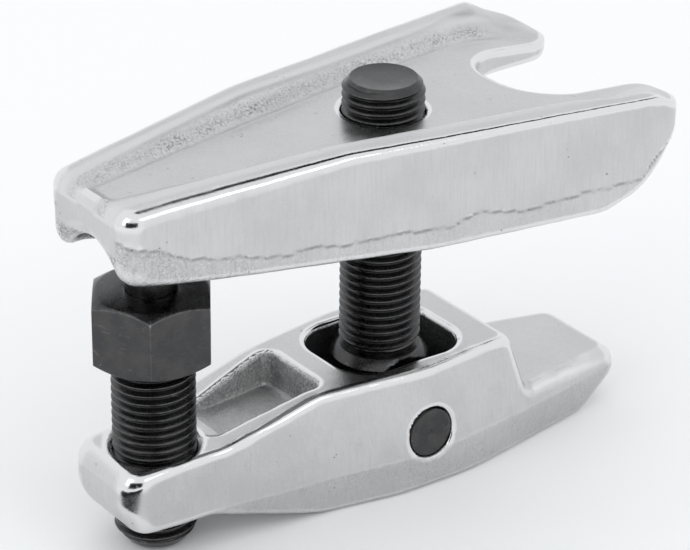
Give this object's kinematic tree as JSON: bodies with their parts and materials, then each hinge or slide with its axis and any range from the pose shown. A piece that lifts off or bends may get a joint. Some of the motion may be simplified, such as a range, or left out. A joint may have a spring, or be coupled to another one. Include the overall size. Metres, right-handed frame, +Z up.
{
  "type": "ball joint separator",
  "caption": "Screw-type ball joint separator: a forked upper arm and a nosed lower arm joined by an eye stud on a cross pin, spread by a hex-headed forcing screw.",
  "frame": {"origin": "centre of the tool's bounding box, at the height of the lower arm's flat underside", "axes": "+X from the forcing screw towards the fork, +Y across the tool, +Z up along the forcing screw"},
  "size_m": [0.1058, 0.0534, 0.0721],
  "materials": {
    "forged_satin": "drop-forged steel, tumbled and satin nickel plated",
    "black_oxide": "machined steel, black oxide, lightly oiled"
  },
  "bodies": {
    "lower_arm": {"lower_arm": "forged_satin", "cross_pin": "black_oxide"},
    "eye_stud": {"eye_stud": "black_oxide"},
    "upper_arm": {"upper_arm": "forged_satin"},
    "thrust_pin": {"thrust_pin": "black_oxide"},
    "forcing_screw": {"forcing_screw": "black_oxide"}
  },
  "joints": [
    {"name": "screw_travel", "type": "slide", "parent": "lower_arm", "child": "thrust_pin", "axis": [0, 0, 1], "range_m": [-0.0105, 0.0045]},
    {"name": "screw_turn", "type": "hinge", "parent": "thrust_pin", "child": "forcing_screw", "pos_m": [-0.04145, 0, 0.0407], "axis": [0, 0, 1], "range_deg": [-2522, 1082]},
    {"name": "stud_tilt", "type": "hinge", "parent": "lower_arm", "child": "eye_stud", "pos_m": [0.00525, 0, 0.011], "axis": [0, 1, 0], "range_deg": [-12.95, 5.6]},
    {"name": "arm_height", "type": "slide", "parent": "eye_stud", "child": "upper_arm", "axis": [0, 0, 1], "range_m": [0, 0.0045]}
  ],
  "couplings": [
    {"joint": "screw_turn", "follows": "screw_travel", "rad_per_m": 4188.8},
    {"joint": "stud_tilt", "follows": "screw_travel", "rad_per_m": 21.413}
  ]
}
